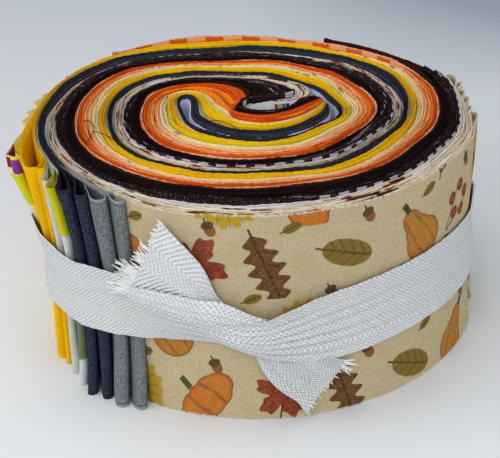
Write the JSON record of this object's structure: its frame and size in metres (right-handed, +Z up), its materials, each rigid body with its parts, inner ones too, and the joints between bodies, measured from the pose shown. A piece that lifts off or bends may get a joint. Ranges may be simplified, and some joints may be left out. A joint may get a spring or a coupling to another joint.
{
  "type": "fabric strip roll",
  "caption": "Roll of folded quilting cotton strips in autumn colours, wound up as one pile and tied round its waist with a white cotton tape.",
  "frame": {"origin": "centre of the bounding box at its bottom face, on the surface that the roll stands on", "axes": "+Z up along the roll's axis, the knot of the tape towards -Y, the loose strip ends towards -X"},
  "size_m": [0.1415, 0.1406, 0.0646],
  "materials": {
    "cream_print": "plain woven quilting cotton, printed",
    "grey_cotton": "plain woven quilting cotton",
    "navy_cotton": "plain woven quilting cotton",
    "lime_print": "plain woven quilting cotton, printed",
    "white_cotton": "plain woven quilting cotton",
    "yellow_cotton": "plain woven quilting cotton",
    "pale_print": "plain woven quilting cotton, printed",
    "orange_check": "plain woven quilting cotton, printed",
    "brown_cotton": "plain woven quilting cotton",
    "white_tape": "herringbone twill cotton tape"
  },
  "bodies": {
    "root": {"roll": "cream_print", "end_grey_front": "grey_cotton", "end_grey_back": "grey_cotton", "end_navy_front": "navy_cotton", "end_navy_back": "navy_cotton", "end_lime": "lime_print", "end_white": "white_cotton", "end_yellow_front": "yellow_cotton", "end_yellow_back": "yellow_cotton", "end_pale_yellow": "pale_print", "end_check": "orange_check", "end_brown": "brown_cotton", "end_cream_back": "cream_print", "end_cream_middle": "cream_print", "end_cream_front": "cream_print", "tie": "white_tape"}
  },
  "joints": []
}
